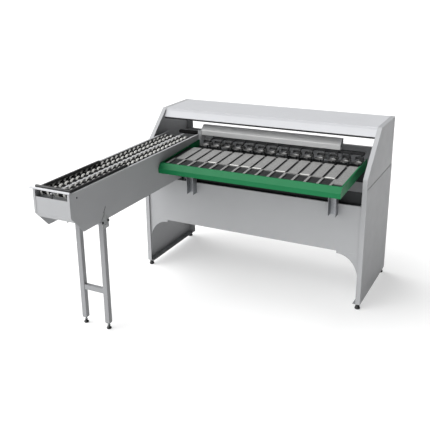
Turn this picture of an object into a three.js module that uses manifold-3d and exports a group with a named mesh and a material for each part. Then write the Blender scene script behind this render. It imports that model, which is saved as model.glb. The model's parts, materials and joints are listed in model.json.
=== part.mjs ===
import * as THREE from "three";
import { mergeVertices } from "three/addons/utils/BufferGeometryUtils.js";
import Module from "manifold-3d";

const wasm = await Module();
wasm.setup();

// Egg grading machine, in millimetres. Inside the machine x runs from the outer face of the
// left side panel, y from the front edges of the side panels to the back, and z up from the floor.

// Cabinet
const cabinetWidth = 1460;
const cabinetDepth = 590;
const cabinetHeight = 1040;
const sheet = 2;
const seatGap = 0.3;
const overrun = 5;
const sideEdgeWidth = 28;
const sideBottomFlange = 45;
const sideBackFlange = 50;
const coverClearance = 250;
const seamBelowBeam = 50;
const seamOverlap = 30;
const slopeAboveSeam = 60;
const coverFrontDepth = 262;

// The machine beam's top face is the level that the trough, table, scales and transport are set by
const beamTop = cabinetHeight - coverClearance;
const beamHeight = 90;
const beamBottom = beamTop - beamHeight;
const beamFront = 256;
const beamDepth = 60;
const seamHeight = beamTop - seamBelowBeam;
const slopeStartHeight = seamHeight + slopeAboveSeam;

// Trough
const troughReach = 1098;
const troughLeft = 38;
const troughWidth = 234;
const troughAboveBeam = 94;
const troughHeight = 226;
const troughTop = beamTop + troughAboveBeam;
const troughBottom = troughTop - troughHeight;
const rollerPitch = 47.5;
const rollerRows = 27;
const legPivotY = -821;
const legPivotDrop = 28;
const legPivotZ = troughBottom - legPivotDrop;

// Table
const tableGap = 3;
const tableRightGap = 74;
const tableLeft = troughLeft + troughWidth + tableGap;
const tableRight = cabinetWidth - tableRightGap;
const tableWidth = tableRight - tableLeft;
const tableFront = -265;
const tableDrop = 25;
const tableBottom = beamTop - tableDrop;
const tableTilt = THREE.MathUtils.degToRad(3);
const laneCount = 15;
const laneLeftMargin = 30;
const laneRightMargin = 1;
const lanePitch = (tableWidth - laneLeftMargin - laneRightMargin) / laneCount;
const firstLane = tableLeft + laneLeftMargin + lanePitch / 2;

// Weighing and transport
const panCount = 14;
const panLeftMargin = 97;
const panRightMargin = 29.9;
const firstPan = tableLeft + panLeftMargin;
const panPitch = (tableRight - panRightMargin - firstPan) / (panCount - 1);
const panPivotY = 206;
const panAboveBeam = 46;
const panPivotZ = beamTop + panAboveBeam;

const paint = (color, roughness = 0.45, metalness = 0.1) =>
  new THREE.MeshStandardMaterial({ color, roughness, metalness });
const greyPaint = paint(0xb9babc);
const lightPaint = paint(0xdcdde0);
const darkPaint = paint(0x4d4f50, 0.5);
const charcoal = paint(0x2a2c2d, 0.6);
const greenPaint = paint(0x1f8a50, 0.4);
const brushed = paint(0xb9babb, 0.35, 0.9);
const galvanised = paint(0xa5a6a5, 0.45, 0.85);
const steel = paint(0x9a9c9e, 0.3, 0.9);
const blackPlastic = paint(0x17181a, 0.5, 0);
const whitePlastic = paint(0xe9e9e6, 0.4, 0);
const castGrey = paint(0x6f7376, 0.5, 0.4);

// Solids from geometries, for joining and cutting
function solidOf(geometry) {
  const bare = geometry.index ? geometry.toNonIndexed() : geometry.clone();
  bare.deleteAttribute("normal");
  bare.deleteAttribute("uv");
  const merged = mergeVertices(bare, 1e-4);
  const vertProperties = merged.attributes.position.array;
  const triVerts = new Uint32Array(merged.index.array);
  return new wasm.Manifold(new wasm.Mesh({ numProp: 3, vertProperties, triVerts }));
}

function geometryOf(solid) {
  const mesh = solid.getMesh();
  const geometry = new THREE.BufferGeometry();
  geometry.setAttribute("position", new THREE.BufferAttribute(mesh.vertProperties, 3));
  geometry.setIndex(new THREE.BufferAttribute(mesh.triVerts, 1));
  geometry.computeVertexNormals();
  return geometry;
}

const join = (...pieces) => geometryOf(pieces.map(solidOf).reduce((whole, piece) => whole.add(piece)));

const cut = (base, ...tools) =>
  geometryOf(tools.map(solidOf).reduce((whole, tool) => whole.subtract(tool), solidOf(base)));

// Shapes: a block between two corners, plates with an outline in one plane, round bars
function block([x0, x1], [y0, y1], [z0, z1]) {
  const geometry = new THREE.BoxGeometry(x1 - x0, y1 - y0, z1 - z0);
  return geometry.translate((x0 + x1) / 2, (y0 + y1) / 2, (z0 + z1) / 2);
}

const shapeOf = (points) => new THREE.Shape(points.map(([a, b]) => new THREE.Vector2(a, b)));

const axisX = new THREE.Vector3(1, 0, 0);
const axisY = new THREE.Vector3(0, 1, 0);
const axisZ = new THREE.Vector3(0, 0, 1);

// An outline in y and z, drawn anticlockwise, given its thickness along x
function plateYZ(shape, [x0, x1], curveSegments = 8) {
  const geometry = new THREE.ExtrudeGeometry(shape, { depth: x1 - x0, bevelEnabled: false, curveSegments });
  geometry.applyMatrix4(new THREE.Matrix4().makeBasis(axisY, axisZ, axisX));
  return geometry.translate(x0, 0, 0);
}

// An outline in x and z, given its thickness along y
function plateXZ(shape, [y0, y1], curveSegments = 8) {
  const geometry = new THREE.ExtrudeGeometry(shape, { depth: y1 - y0, bevelEnabled: false, curveSegments });
  geometry.applyMatrix4(new THREE.Matrix4().makeBasis(axisX, axisZ, axisY.clone().negate()));
  return geometry.translate(0, y1, 0);
}

// A round bar along x
function barX(radius, [x0, x1], y = 0, z = 0, sides = 12) {
  const geometry = new THREE.CylinderGeometry(radius, radius, x1 - x0, sides);
  return geometry.rotateZ(-Math.PI / 2).translate((x0 + x1) / 2, y, z);
}

// A round bar along z
function barZ(radius, x, y, [z0, z1], sides = 12) {
  const geometry = new THREE.CylinderGeometry(radius, radius, z1 - z0, sides);
  return geometry.rotateX(Math.PI / 2).translate(x, y, (z0 + z1) / 2);
}

// The outline of a folded sheet: the path is its outer face, and its thickness lies to the right
function foldedSheet(path, thickness = sheet) {
  const normals = path.slice(1).map(([a, b], i) => {
    const [p, q] = path[i];
    const length = Math.hypot(a - p, b - q);
    return [(b - q) / length, -(a - p) / length];
  });
  const inner = path.map(([a, b], i) => {
    const before = normals[Math.max(i - 1, 0)];
    const after = normals[Math.min(i, normals.length - 1)];
    const spread = 1 + before[0] * after[0] + before[1] * after[1];
    const reach = (k) => ((before[k] + after[k]) / spread) * thickness;
    return [a + reach(0), b + reach(1)];
  });
  return shapeOf([...path, ...inner.reverse()]);
}

// A piece of the right side is the mirror image of the left one
function mirrored(geometry) {
  const flipped = geometry.index ? geometry.toNonIndexed() : geometry.clone();
  flipped.scale(-1, 1, 1);
  const place = flipped.attributes.position;
  const corner = new THREE.Vector3();
  const swap = new THREE.Vector3();
  for (let i = 0; i < place.count; i += 3) {
    corner.fromBufferAttribute(place, i + 1);
    swap.fromBufferAttribute(place, i + 2);
    place.setXYZ(i + 1, swap.x, swap.y, swap.z);
    place.setXYZ(i + 2, corner.x, corner.y, corner.z);
  }
  return flipped;
}

function add(group, name, geometry, material, [x, y, z] = [0, 0, 0]) {
  const mesh = new THREE.Mesh(geometry, material);
  mesh.name = name;
  mesh.position.set(x, y, z);
  group.add(mesh);
  return mesh;
}

const machine = new THREE.Group();
const cabinet = new THREE.Group();
const trough = new THREE.Group();
const table = new THREE.Group();
const weighing = new THREE.Group();
const transport = new THREE.Group();
const drive = new THREE.Group();
machine.add(cabinet, trough, table, weighing, transport, drive);

// Side panels: a skin with folded edges. The upper part is set in by one sheet, and its skin
// reaches down behind the lower one.
const footHeight = 32;
const innerFaceLow = sheet;
const innerFaceHigh = 2 * sheet;

function lowerSide() {
  return join(
    block([0, sheet], [0, cabinetDepth], [footHeight, seamHeight]),
    block([0, sideEdgeWidth], [0, sheet], [footHeight, seamHeight]),
    block([0, sideBottomFlange], [0, cabinetDepth], [footHeight, footHeight + sheet]),
    block([0, sideBackFlange], [cabinetDepth - sheet, cabinetDepth], [footHeight, seamHeight]),
  );
}

function upperSide() {
  const edge = [
    [0, seamHeight],
    [0, slopeStartHeight],
    [coverFrontDepth, cabinetHeight],
    [cabinetDepth, cabinetHeight],
  ];
  const skin = shapeOf([...edge, [cabinetDepth, seamHeight]].reverse());
  const tongueY = [sheet + seatGap, cabinetDepth - sheet - seatGap];
  return join(
    plateYZ(skin, [sheet, innerFaceHigh]),
    block([sheet, innerFaceHigh], tongueY, [seamHeight - seamOverlap, seamHeight + sheet]),
    plateYZ(foldedSheet(edge), [sheet, sideEdgeWidth]),
    block([sheet, sideBackFlange], [cabinetDepth - sheet, cabinetDepth], [seamHeight, cabinetHeight]),
  );
}

const lowerSideShape = lowerSide();
const upperSideShape = upperSide();
add(cabinet, "left_side_lower", lowerSideShape, greyPaint);
add(cabinet, "left_side_upper", upperSideShape, greyPaint);
add(cabinet, "right_side_lower", mirrored(lowerSideShape), greyPaint, [cabinetWidth, 0, 0]);
add(cabinet, "right_side_upper", mirrored(upperSideShape), greyPaint, [cabinetWidth, 0, 0]);

// Feet: black cones under the bottom flanges
const footRadius = 16;
const footNeckRadius = 11;
const footRimHeight = 8;
const footInset = 18;

const footShape = new THREE.LatheGeometry(
  [
    [0, 0],
    [footRadius, 0],
    [footRadius, footRimHeight],
    [footNeckRadius, footHeight],
    [0, footHeight],
  ].map(([r, h]) => new THREE.Vector2(r, h)),
  12,
).rotateX(Math.PI / 2);
for (const [side, x] of [["left", footInset], ["right", cabinetWidth - footInset]]) {
  add(cabinet, side + "_front_foot", footShape.clone(), blackPlastic, [x, footInset, 0]);
  add(cabinet, side + "_back_foot", footShape.clone(), blackPlastic, [x, cabinetDepth - footInset, 0]);
}

// Top cover: one folded sheet between the side panels, with a sloping fascia and a return
const coverBackLip = 40;
const coverStep = 14;
const coverStepDepth = 4;
const fasciaDepth = 28;
const fasciaDrop = 38;
const fasciaReturn = 20;
const fasciaReturnDrop = 6;
const coverBack = cabinetDepth - sheet;

const coverPath = [
  [coverBack, cabinetHeight - coverBackLip],
  [coverBack, cabinetHeight],
  [coverFrontDepth, cabinetHeight],
  [coverFrontDepth - coverStepDepth, cabinetHeight - coverStep],
  [coverFrontDepth - coverStepDepth - fasciaDepth, cabinetHeight - coverStep - fasciaDrop],
  [
    coverFrontDepth - coverStepDepth - fasciaDepth + fasciaReturn,
    cabinetHeight - coverStep - fasciaDrop - fasciaReturnDrop,
  ],
];
const coverSpan = [sideEdgeWidth, cabinetWidth - sideEdgeWidth];
add(cabinet, "top_cover", plateYZ(foldedSheet(coverPath.slice().reverse()), coverSpan), lightPaint);

// Front panel: a sheet across the cabinet behind its front edges, folded back at top and bottom
const frontSetback = 10;
const frontBottom = 347;
const saddleHeight = 20;
const frontTop = troughBottom - saddleHeight;
const frontReturn = 35;
const lowSpan = [innerFaceLow, cabinetWidth - innerFaceLow];
const highSpan = [innerFaceHigh, cabinetWidth - innerFaceHigh];

const frontPath = [
  [frontSetback + frontReturn, frontBottom],
  [frontSetback, frontBottom],
  [frontSetback, frontTop],
  [frontSetback + frontReturn, frontTop],
];
add(cabinet, "front_panel", plateYZ(foldedSheet(frontPath), lowSpan), greyPaint);

// Gussets: plates in the corners under the front panel, each cut by a quarter of an ellipse
const archWidth = 124;
const archHeight = 150;
const archRise = 16;
const archToe = 8;

function gusset() {
  const archTop = frontBottom - archRise;
  const archBottom = archTop - archHeight;
  const outline = new THREE.Shape();
  outline.moveTo(innerFaceLow, frontBottom);
  outline.lineTo(innerFaceLow, archBottom);
  outline.lineTo(sideEdgeWidth, archBottom);
  outline.absellipse(
    sideEdgeWidth + archWidth, archBottom, archWidth, archHeight, Math.PI, Math.PI / 2, true, 0,
  );
  outline.lineTo(sideEdgeWidth + archWidth + archToe, archTop);
  outline.lineTo(sideEdgeWidth + archWidth + archToe, frontBottom);
  return plateXZ(outline, [frontSetback, frontSetback + sheet], 10);
}

add(cabinet, "left_gusset", gusset(), greyPaint);
add(cabinet, "right_gusset", mirrored(gusset()), greyPaint, [cabinetWidth, 0, 0]);

// Back panel: seated on the back flanges, open above it
const backPanelBottom = 340;
const backPanelAboveBeam = 46;
const backPanelTop = beamTop + backPanelAboveBeam;
const backPanelReturn = 26;
const backPath = [
  [coverBack - backPanelReturn, backPanelTop],
  [coverBack, backPanelTop],
  [coverBack, backPanelBottom],
  [coverBack - backPanelReturn, backPanelBottom],
];
add(cabinet, "back_panel", plateYZ(foldedSheet(backPath), highSpan), greyPaint);

// Inner cross plate: an angle that stands on the return of the front panel
const crossPlateHeight = 74;
const crossPlateFoot = 24;
const crossPlateLeftGap = 18;
const crossPlateRightGap = 39;
const crossPlateLeft = troughLeft + troughWidth + crossPlateLeftGap;
const crossPlateRight = cabinetWidth - crossPlateRightGap;
const crossPlateBack = frontSetback + frontReturn - sheet;
const crossPath = [
  [crossPlateBack - crossPlateFoot, frontTop],
  [crossPlateBack, frontTop],
  [crossPlateBack, frontTop + crossPlateHeight],
];
const crossSheet = foldedSheet(crossPath.slice().reverse());
add(cabinet, "inner_cross_plate", plateYZ(crossSheet, [crossPlateLeft, crossPlateRight]), charcoal);

// Machine beam: a channel between the side panels, which carries the table, scales and transport
const beamPath = [
  [beamFront + beamDepth, beamBottom],
  [beamFront, beamBottom],
  [beamFront, beamTop],
  [beamFront + beamDepth, beamTop],
];
add(cabinet, "machine_beam", plateYZ(foldedSheet(beamPath), highSpan), charcoal);

// Trough walls: sheets with a folded top edge, a folded front edge and a ledge for the roller
// chain. The lower front corner is cut off at a slant.
const troughFront = -troughReach;
const troughBack = beamFront;
const troughRight = troughLeft + troughWidth;
const troughInner = [troughLeft + sheet, troughRight - sheet];
const slantHeight = 100;
const slantTop = troughBottom + slantHeight;
const slantBack = 94;
const wallEdge = 14;
const ledgeWidth = 12;
const chainDrop = 42;
const chainBottom = troughTop - chainDrop;
const drivePlaceY = 215;
const sprocketRadius = 29;
const sprocketClearance = 10;
const driveAxisZ = chainBottom - sprocketRadius - seatGap;
const shaftRadius = 10;
const boreClearance = 1;
const idlerY = -1045;

function troughWall() {
  const outline = shapeOf([
    [troughFront, troughTop],
    [troughFront, slantTop],
    [troughFront + slantBack, troughBottom],
    [troughBack, troughBottom],
    [troughBack, troughTop],
  ]);
  const wheelReach = sprocketRadius + sprocketClearance;
  const ledgeY = [idlerY + wheelReach, drivePlaceY - wheelReach];
  const ledgeTop = chainBottom - seatGap;
  return join(
    plateYZ(outline, [0, sheet]),
    block([0, wallEdge], [troughFront, troughBack], [troughTop - sheet, troughTop]),
    block([0, wallEdge], [troughFront, troughFront + sheet], [slantTop, troughTop]),
    block([0, ledgeWidth], ledgeY, [ledgeTop - sheet, ledgeTop]),
  );
}

const driveBore = barX(shaftRadius + boreClearance, [-overrun, sheet + overrun], drivePlaceY, driveAxisZ, 16);
add(trough, "trough_left_wall", cut(troughWall(), driveBore), greyPaint, [troughLeft, 0, 0]);
add(trough, "trough_right_wall", mirrored(troughWall()), greyPaint, [troughRight, 0, 0]);

// End plate: closes the front between the walls, under a slot, and follows the slanted corner
const slotHeight = 36;
const endPlateFootRise = 68;
const endPlateTop = troughTop - slotHeight;
const endPlateFoot = troughBottom + endPlateFootRise;
const slantShare = (slantTop - endPlateFoot) / (slantTop - troughBottom);
const endPlatePath = [
  [troughFront + sheet + slantShare * slantBack, endPlateFoot],
  [troughFront + sheet, slantTop],
  [troughFront + sheet, endPlateTop],
];
add(trough, "trough_end_plate", plateYZ(foldedSheet(endPlatePath), troughInner), lightPaint);

// Front bar: a round bar on the front edge, which stands out past the left wall
const frontBarRadius = 6;
const frontBarOverhang = 26;

function frontBar() {
  const length = troughWidth + frontBarOverhang;
  const profile = [[0, 0], [frontBarRadius / 2, 0], [frontBarRadius, frontBarRadius / 2]];
  profile.push([frontBarRadius, length], [0, length]);
  const geometry = new THREE.LatheGeometry(profile.map(([r, h]) => new THREE.Vector2(r, h)), 12);
  return geometry.rotateZ(-Math.PI / 2);
}

add(trough, "trough_front_bar", frontBar(), steel, [
  troughLeft - frontBarOverhang,
  troughFront + frontBarRadius,
  troughTop + frontBarRadius,
]);

// Guide frame: a black bar across the front of the trough with a side rail on each side
const guideBarRadius = 8;
const guideBarAbove = 14;
const guideBarSetback = 20;
const guideRailThickness = 18;
const guideRailAbove = 11;
const guideRailBelow = 2;
const guideRailTop = troughTop + guideRailAbove;
const guideRailBottom = troughTop - guideRailBelow;
const guideRailBack = -555;
const guideBarY = troughFront + guideBarSetback;

function guideFrame() {
  const barSpan = [troughInner[0] + sheet, troughInner[1] - sheet];
  const railY = [guideBarY, guideRailBack];
  const railZ = [guideRailBottom, guideRailTop];
  const leftRail = troughLeft + wallEdge + seatGap;
  const rightRail = troughRight - wallEdge - seatGap;
  return join(
    barX(guideBarRadius, barSpan, guideBarY, troughTop + guideBarAbove),
    block([leftRail, leftRail + guideRailThickness], railY, railZ),
    block([rightRail - guideRailThickness, rightRail], railY, railZ),
  );
}

add(trough, "guide_frame", guideFrame(), blackPlastic);

// Roller mat: rows of spools on shafts, carried by a chain of side plates at either end
const spoolRadius = 19;
const spoolNeckRadius = 6;
const axleRadius = 5;
const spoolMargin = 18;
const coneCount = 4;
const dividerWidth = 12;
const dividerMargin = 1;
const chainInset = 4;
const chainThickness = 6;
const chainHeight = 25;
const rollerAxisZ = chainBottom + spoolRadius;
const lastRollerY = 190;
const troughMiddle = troughLeft + troughWidth / 2;
const chainSpans = [
  [troughLeft + chainInset, troughLeft + chainInset + chainThickness],
  [troughRight - chainInset - chainThickness, troughRight - chainInset],
];

function roller() {
  const half = troughWidth / 2 - spoolMargin;
  const inner = dividerWidth / 2 + dividerMargin;
  const end = troughWidth / 2 - chainInset - chainThickness / 2;
  const cone = (half - inner) / coneCount;
  const spool = Array.from({ length: coneCount + 1 }, (_, k) => [
    k % 2 ? spoolNeckRadius : spoolRadius,
    inner + k * cone,
  ]);
  const right = [[axleRadius, inner], ...spool, [axleRadius, half], [axleRadius, end], [0, end]];
  const left = right.map(([r, x]) => [r, -x]).reverse();
  const points = [...left, ...right].map(([r, h]) => new THREE.Vector2(r, h));
  return new THREE.LatheGeometry(points, 6).rotateZ(-Math.PI / 2);
}

function rollerMat() {
  const rows = Array.from({ length: rollerRows }, (_, row) =>
    roller().translate(troughMiddle, lastRollerY - row * rollerPitch, rollerAxisZ),
  );
  const firstRollerY = lastRollerY - (rollerRows - 1) * rollerPitch;
  const chainY = [firstRollerY - spoolRadius, lastRollerY + spoolRadius];
  const chains = chainSpans.map((span) => block(span, chainY, [chainBottom, chainBottom + chainHeight]));
  return join(...chains, ...rows);
}

add(trough, "roller_mat", rollerMat(), whitePlastic);

// Centre divider: a bar between the two lanes, on the end plate in front and under the stop bar
// at the back
const stopBarY = 270;
const stopBarAboveTrough = 5;
const stopBarZ = troughTop + stopBarAboveTrough;
const stopBarRadius = 12;
const stopBarInset = 80;
const stopBarLeft = troughLeft + stopBarInset;
const dividerGap = 2;
const dividerTop = stopBarZ - stopBarRadius - seatGap;
const dividerTab = 6;

function centreDivider() {
  const span = [troughMiddle - dividerWidth / 2, troughMiddle + dividerWidth / 2];
  const bottom = rollerAxisZ + axleRadius + dividerGap;
  return join(
    block(span, [troughFront + sheet, stopBarY + dividerWidth / 2], [bottom, dividerTop]),
    block(span, [troughFront + sheet, troughFront + sheet + dividerTab], [endPlateTop, dividerTop]),
  );
}

add(trough, "centre_divider", centreDivider(), lightPaint);

// Saddle: a channel on the front panel that carries the trough, with the trough's bottom sheet
const saddleMargin = 4;
const bottomSetback = 300;
const saddleFront = frontSetback + saddleMargin;
const saddleBack = frontSetback + frontReturn - sheet;
const saddlePath = [
  [saddleFront, frontTop],
  [saddleFront, troughBottom],
  [saddleBack, troughBottom],
  [saddleBack, frontTop],
];
const bottomSpan = [troughInner[0] + seatGap, troughInner[1] - seatGap];
const bottomY = [troughFront + bottomSetback, troughBack - seatGap];

function troughSaddle() {
  const weldY = [saddleFront + sheet, saddleBack - sheet];
  const weldZ = [troughBottom - sheet / 2, troughBottom + sheet / 2];
  return join(
    plateYZ(foldedSheet(saddlePath), [troughLeft, troughRight]),
    block(bottomSpan, bottomY, [troughBottom, troughBottom + sheet]),
    block(bottomSpan, weldY, weldZ),
  );
}

add(trough, "trough_saddle", troughSaddle(), charcoal);

// Leg brackets: pointed plates on the outside of the walls, bored for the pivot rod
const bracketThickness = 3;
const bracketHalfWidth = 30;
const bracketBelow = 18;
const bracketShoulder = 35;
const bracketPoint = 72;
const pivotRadius = 7;
const pivotClearance = 0.6;

function legBracket() {
  const outline = shapeOf([
    [-bracketHalfWidth, -bracketBelow],
    [bracketHalfWidth, -bracketBelow],
    [bracketHalfWidth, bracketShoulder],
    [0, bracketPoint],
    [-bracketHalfWidth, bracketShoulder],
  ]);
  const bore = barX(pivotRadius + pivotClearance, [-overrun, bracketThickness + overrun], 0, 0, 16);
  return cut(plateYZ(outline, [0, bracketThickness]), bore);
}

const bracketPlace = (x) => [x, legPivotY, legPivotZ];
add(trough, "left_leg_bracket", legBracket(), galvanised, bracketPlace(troughLeft - bracketThickness));
add(trough, "right_leg_bracket", legBracket(), galvanised, bracketPlace(troughRight));

// Leg frame: two square tubes with a crossbar, which swings back under the trough on its pivot rod
const legs = new THREE.Group();
legs.position.set(troughMiddle, legPivotY, legPivotZ);
trough.add(legs);
const legTube = 30;
const legOffsetY = -7;
const legTopAbovePivot = 15;
const legFootHeight = 40;
const leftLegInset = 59.5;
const leftLegX = troughLeft + leftLegInset;
const crossbarBottom = 219;
const crossbarHeight = 30;
const crossbarDepth = 24;
const pivotOverhang = 2;
const rightLegX = troughRight - seatGap - legTube / 2;
const legFootRadius = 14;
const legPadHeight = 9;
const legStemRadius = 6;

function legFrame() {
  const tubeY = [legOffsetY - legTube / 2, legOffsetY + legTube / 2];
  const tube = (x) =>
    block(
      [x - troughMiddle - legTube / 2, x - troughMiddle + legTube / 2],
      tubeY,
      [legFootHeight - legPivotZ, legTopAbovePivot],
    );
  const barY = [legOffsetY - crossbarDepth / 2, legOffsetY + crossbarDepth / 2];
  const barZ0 = crossbarBottom - legPivotZ;
  const rodReach = troughWidth / 2 + bracketThickness + pivotOverhang;
  return join(
    tube(leftLegX),
    tube(rightLegX),
    block([leftLegX - troughMiddle, rightLegX - troughMiddle], barY, [barZ0, barZ0 + crossbarHeight]),
    barX(pivotRadius, [-rodReach, rodReach], 0, 0, 16),
  );
}

add(legs, "leg_frame", legFrame(), greyPaint);

const legFootProfile = [
  [0, 0],
  [legFootRadius, 0],
  [legFootRadius, legPadHeight],
  [legStemRadius, legPadHeight + legStemRadius],
  [legStemRadius, legFootHeight],
  [0, legFootHeight],
];
const legFootPoints = legFootProfile.map(([r, h]) => new THREE.Vector2(r, h));
const legFootShape = new THREE.LatheGeometry(legFootPoints, 12).rotateX(Math.PI / 2);
for (const [side, x] of [["left", leftLegX], ["right", rightLegX]]) {
  const place = [x - troughMiddle, legOffsetY, -legPivotZ];
  add(legs, side + "_leg_foot", legFootShape.clone(), blackPlastic, place);
}

// Table, in its own tilted frame: y runs up the slope from the foot of the front lip
table.position.set(tableLeft, tableFront, tableBottom);
table.rotation.x = tableTilt;
const tableHeading = (y, z) => {
  const run = y - tableFront;
  const rise = z - tableBottom;
  return [
    run * Math.cos(tableTilt) + rise * Math.sin(tableTilt),
    rise * Math.cos(tableTilt) - run * Math.sin(tableTilt),
  ];
};
const tableSlopeY = (y, height) => (y - tableFront + height * Math.sin(tableTilt)) / Math.cos(tableTilt);

// Tray frame: a folded green lip in front, a rail on each side and a cross rail behind the lanes
const lipFace = 28;
const lipChamfer = 29;
const lipChamferDepth = 27;
const lipTopWidth = 8;
const lipHeight = lipFace + lipChamfer;
const lipFoot = 40;
const floorHeight = 42;
const lipLedge = 14;
const railBack = 262;
const railLedge = 8;
const laneBack = 116;
const crossRailDepth = 12;
const crossRailDrop = 14;

function trayFrame() {
  const lipBack = lipChamferDepth + lipTopWidth;
  const lip = foldedSheet([
    [lipFoot, 0],
    [0, 0],
    [0, lipFace],
    [lipChamferDepth, lipHeight],
    [lipBack, lipHeight],
    [lipBack, floorHeight],
  ]);
  const railEnd = tableSlopeY(railBack, lipHeight);
  const rail = shapeOf([
    [0, 0],
    tableHeading(beamFront, beamTop + seatGap),
    tableHeading(railBack, beamTop + seatGap),
    [railEnd, lipHeight],
    [lipChamferDepth, lipHeight],
    [0, lipFace],
  ]);
  const laneEnd = tableSlopeY(laneBack, floorHeight);
  const ledgeY = [lipChamferDepth, laneEnd];
  const ledgeZ = [lipHeight - sheet, lipHeight];
  return join(
    plateYZ(lip, [0, tableWidth]),
    block([0, tableWidth], [lipBack - sheet, lipBack + lipLedge], [floorHeight - sheet, floorHeight]),
    plateYZ(rail, [0, sheet]),
    plateYZ(rail, [tableWidth - sheet, tableWidth]),
    block([0, railLedge], ledgeY, ledgeZ),
    block([tableWidth - railLedge, tableWidth], ledgeY, ledgeZ),
    block([0, tableWidth], [laneEnd - crossRailDepth, laneEnd], [floorHeight - crossRailDrop, floorHeight]),
  );
}

add(table, "tray_frame", trayFrame(), greenPaint);

// Table floor: a dark sheet under the lanes and in the pockets behind the lip
const floorMargin = 0.3;
const floorTop = floorHeight + seatGap + sheet;
const floorFront = lipChamferDepth + lipTopWidth + seatGap;
const floorSpan = [sheet + floorMargin, tableWidth - sheet - floorMargin];
const floorEnd = tableSlopeY(laneBack, floorTop);
const floorY = [floorFront, floorEnd];
const floorZ = [floorTop - sheet, floorTop];
add(table, "table_floor", block(floorSpan, floorY, floorZ), charcoal);

// Lane strips: one strip for each lane, tied by straps on the floor. The last lane is longer.
const stripSpacing = 16;
const stripWidth = lanePitch - stripSpacing;
const stripTop = 50;
const laneFrontY = -115;
const lastLaneFrontY = -187;
const strapDepth = 10;
const strapThickness = 1;
const stripBottom = floorTop + seatGap;
const laneX = (lane) => firstLane - tableLeft + lane * lanePitch;
const laneFront = tableSlopeY(laneFrontY, stripTop);
const laneEnd = tableSlopeY(laneBack, stripTop);

function laneStrips() {
  const strips = Array.from({ length: laneCount }, (_, lane) => {
    const front = lane === laneCount - 1 ? tableSlopeY(lastLaneFrontY, stripTop) : laneFront;
    const x = laneX(lane);
    return block([x - stripWidth / 2, x + stripWidth / 2], [front, laneEnd], [stripBottom, stripTop]);
  });
  const strapX = [laneX(0), laneX(laneCount - 1)];
  const strapZ = [stripBottom, stripBottom + strapThickness];
  const straps = [laneFront + strapDepth, laneEnd - strapDepth].map((y) =>
    block(strapX, [y - strapDepth / 2, y + strapDepth / 2], strapZ),
  );
  return join(...strips, ...straps);
}

add(table, "lane_strips", laneStrips(), galvanised);

// Finger rack: narrow fingers between the pockets behind the lip, tied by a strap at the lip
const fingerWidth = 14;
const fingerGap = 1;
const fingerFront = floorFront + seatGap;

function fingerRack() {
  const fingers = Array.from({ length: laneCount }, (_, lane) => {
    const x = laneX(lane) - lanePitch / 2;
    const z = [stripBottom, stripTop];
    return block([x - fingerWidth / 2, x + fingerWidth / 2], [fingerFront, laneFront - fingerGap], z);
  });
  const left = laneX(0) - lanePitch / 2;
  const right = laneX(laneCount - 2) + lanePitch / 2;
  const strapZ = [stripBottom, stripBottom + strapThickness];
  return join(...fingers, block([left, right], [fingerFront, fingerFront + strapDepth], strapZ));
}

add(table, "finger_rack", fingerRack(), galvanised);

// Table posts: channels on the front panel, open to the front, up to the table floor
const postWidth = 46;
const postDepth = 50;
const postLap = 68;
const postLeftInset = 87;
const postRightInset = 110;
const postBottom = frontTop - postLap;
const postLeftX = tableLeft + postLeftInset;
const postRightX = tableRight - postRightInset;
const postFront = frontSetback - postDepth;
const postRun = tableHeading(postFront, tableBottom)[0];
const floorUnder = floorTop - sheet;
const postTop = tableBottom + postRun * Math.sin(tableTilt) + floorUnder * Math.cos(tableTilt) - seatGap;

function tablePost() {
  const height = [postBottom, postTop];
  const half = postWidth / 2;
  return join(
    block([-half, half], [frontSetback - sheet, frontSetback], height),
    block([-half, sheet - half], [postFront, frontSetback], height),
    block([half - sheet, half], [postFront, frontSetback], height),
  );
}

add(cabinet, "left_table_post", tablePost(), steel, [postLeftX, 0, 0]);
add(cabinet, "right_table_post", tablePost(), steel, [postRightX, 0, 0]);

// Weigh rail: a shelf on the machine beam with a pair of notched ears for each scale
const shelfAboveBeam = 18;
const shelfTop = beamTop + shelfAboveBeam;
const shelfFront = 190;
const shelfFlange = 34;
const shelfMargin = 5;
const pinRadius = 2.5;
const earInner = 8;
const earThickness = 3;
const earHalfDepth = 7;
const earAbovePin = 1;
const notchHalfWidth = 4.5;
const notchDepth = 4.6;
const shelfSpan = [tableLeft + shelfMargin, tableRight - shelfMargin];
const panX = (pan) => firstPan + pan * panPitch;

function weighRail() {
  const shelf = foldedSheet([
    [beamFront, shelfTop - shelfFlange],
    [beamFront, shelfTop],
    [shelfFront, shelfTop],
  ].reverse());
  const foot = shelfTop - sheet - panPivotZ;
  const ear = shapeOf([
    [-earHalfDepth, foot],
    [earHalfDepth, foot],
    [earHalfDepth, earAbovePin],
    [notchHalfWidth, earAbovePin],
    [0, -notchDepth],
    [-notchHalfWidth, earAbovePin],
    [-earHalfDepth, earAbovePin],
  ]);
  const ears = Array.from({ length: panCount }, (_, pan) =>
    [-earInner - earThickness, earInner].map((x) =>
      plateYZ(ear, [x, x + earThickness]).translate(panX(pan), panPivotY, panPivotZ),
    ),
  ).flat();
  return join(plateYZ(shelf, shelfSpan), ...ears);
}

add(weighing, "weigh_rail", weighRail(), blackPlastic);

// Weighing pans: a shallow dish on a balance lever with a cross pin and a counterweight
const dishRadius = 26;
const dishFlatRadius = 14;
const dishReach = 56;
const dishHeight = 8;
const dishRise = 6;
const dishThickness = 1.5;
const leverHalfWidth = 4;
const leverBottom = 1;
const hubHalf = 6;
const hubBelow = 4;
const pinReach = 13;
const weightHalfWidth = 14;
const weightFront = 14;
const weightBack = 44;
const weightBelow = 10;

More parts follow.
